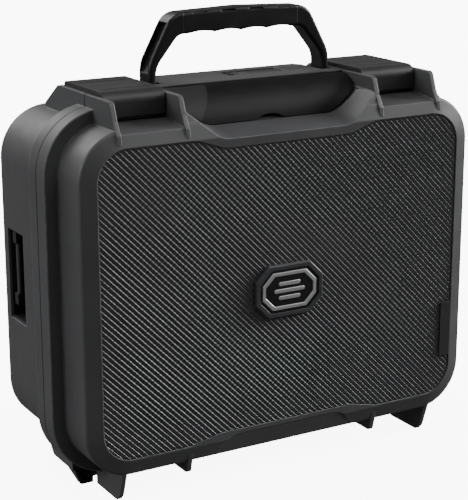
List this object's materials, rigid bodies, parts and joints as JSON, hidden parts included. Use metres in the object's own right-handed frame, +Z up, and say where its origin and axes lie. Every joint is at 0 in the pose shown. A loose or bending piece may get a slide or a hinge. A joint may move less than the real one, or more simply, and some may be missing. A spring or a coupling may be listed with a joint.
{
  "type": "lockable hard case",
  "caption": "Lockable hard carry case with foam inside, folding handle, two lever latches and an electronic lock under a flip cover.",
  "frame": {"origin": "on the surface the case stands on, at the middle of its width and depth", "axes": "+Z up towards the handle, +X along the handle and the hinges, -Y out of the lid's textured front"},
  "size_m": [0.4074, 0.17, 0.4015],
  "materials": {
    "case_plastic": "moulded, fine satin",
    "panel_plastic": "moulded diamond texture",
    "badge_rim": "satin",
    "badge_face": "satin",
    "rubber_trim": "matt",
    "foam": "open cell, matt",
    "steel": "satin",
    "unit_plastic": "satin",
    "gloss_black": "gloss",
    "sensor_glass": "gloss",
    "light_pipe": "clear",
    "board": "solder mask",
    "battery_skin": "film",
    "cover_plastic": "satin gloss",
    "seal_rubber": "matt",
    "brass_plug": "polished",
    "latch_plastic": "satin",
    "handle_plastic": "satin",
    "grip_rubber": "soft touch",
    "key_plastic": "matt"
  },
  "bodies": {
    "base": {"base_shell": "case_plastic", "base_foam": "foam", "seal_ring": "seal_rubber", "hinge_pins": "steel", "latch_pins": "steel", "handle_pins": "steel", "strap_anchor_right": "unit_plastic", "strap_anchor_left": "unit_plastic", "strap_bar_right": "steel", "strap_bar_left": "steel", "corner_pads": "seal_rubber", "lock_barrel": "steel"},
    "lid": {"lid_shell": "case_plastic", "texture_panel": "panel_plastic", "badge_bezel": "badge_rim", "badge_plate": "badge_face", "side_tab": "rubber_trim", "lid_foam": "foam", "lid_strike": "steel", "catch_bars": "steel", "control_housing": "unit_plastic", "keypad_plate": "gloss_black", "fingerprint_sensor": "sensor_glass", "status_light": "light_pipe", "circuit_board": "board", "battery_pack": "battery_skin", "lock_actuators": "steel", "cover_hinge_pin": "steel", "control_screws": "steel"},
    "cover": {"keypad_cover": "cover_plastic"},
    "bolt_right": {"lock_bolt_right": "steel"},
    "bolt_left": {"lock_bolt_left": "steel"},
    "latch_right": {"latch_lever_right": "latch_plastic", "latch_hook_right": "steel"},
    "latch_left": {"latch_lever_left": "latch_plastic", "latch_hook_left": "steel"},
    "handle": {"handle_frame": "handle_plastic", "handle_grip": "grip_rubber"},
    "port_door": {"port_door": "unit_plastic"},
    "lock_plug": {"lock_plug": "brass_plug"},
    "key_1": {"key_1": "key_plastic"},
    "key_2": {"key_2": "key_plastic"},
    "key_3": {"key_3": "key_plastic"},
    "key_4": {"key_4": "key_plastic"},
    "key_5": {"key_5": "key_plastic"}
  },
  "joints": [
    {"name": "lid_hinge", "type": "hinge", "parent": "base", "child": "lid", "pos_m": [0, -0.0205, 0.007], "axis": [1, 0, 0], "range_deg": [0, 105]},
    {"name": "latch_right_pivot", "type": "hinge", "parent": "base", "child": "latch_right", "pos_m": [0.12605, 0.022, 0.3345], "axis": [-1, 0, 0], "range_deg": [0, 100]},
    {"name": "latch_left_pivot", "type": "hinge", "parent": "base", "child": "latch_left", "pos_m": [-0.12605, 0.022, 0.3345], "axis": [-1, 0, 0], "range_deg": [0, 100]},
    {"name": "handle_pivot", "type": "hinge", "parent": "base", "child": "handle", "pos_m": [0, 0.0065, 0.3315], "axis": [-1, 0, 0], "range_deg": [0, 90]},
    {"name": "port_door_slide", "type": "slide", "parent": "base", "child": "port_door", "axis": [1, 0, 0], "range_m": [0, 0.027]},
    {"name": "lock_plug_turn", "type": "hinge", "parent": "base", "child": "lock_plug", "pos_m": [0.014, 0.0115, 0.32], "axis": [0, 0, 1], "range_deg": [0, 90]},
    {"name": "cover_hinge", "type": "hinge", "parent": "lid", "child": "cover", "pos_m": [0, -0.0264, 0.3352], "axis": [-1, 0, 0], "range_deg": [0, 100]},
    {"name": "bolt_right_slide", "type": "slide", "parent": "lid", "child": "bolt_right", "axis": [1, 0, 0], "range_m": [0, 0.007]},
    {"name": "bolt_left_slide", "type": "slide", "parent": "lid", "child": "bolt_left", "axis": [-1, 0, 0], "range_m": [0, 0.007]},
    {"name": "key_1_press", "type": "slide", "parent": "lid", "child": "key_1", "axis": [0, 0.7071, -0.7071], "range_m": [0, 0.0012], "stiffness_N_per_m": 400, "springref_m": -0.001},
    {"name": "key_2_press", "type": "slide", "parent": "lid", "child": "key_2", "axis": [0, 0.7071, -0.7071], "range_m": [0, 0.0012], "stiffness_N_per_m": 400, "springref_m": -0.001},
    {"name": "key_3_press", "type": "slide", "parent": "lid", "child": "key_3", "axis": [0, 0.7071, -0.7071], "range_m": [0, 0.0012], "stiffness_N_per_m": 400, "springref_m": -0.001},
    {"name": "key_4_press", "type": "slide", "parent": "lid", "child": "key_4", "axis": [0, 0.7071, -0.7071], "range_m": [0, 0.0012], "stiffness_N_per_m": 400, "springref_m": -0.001},
    {"name": "key_5_press", "type": "slide", "parent": "lid", "child": "key_5", "axis": [0, 0.7071, -0.7071], "range_m": [0, 0.0012], "stiffness_N_per_m": 400, "springref_m": -0.001}
  ],
  "couplings": [
    {"joint": "bolt_left_slide", "follows": "bolt_right_slide", "ratio": 1}
  ]
}
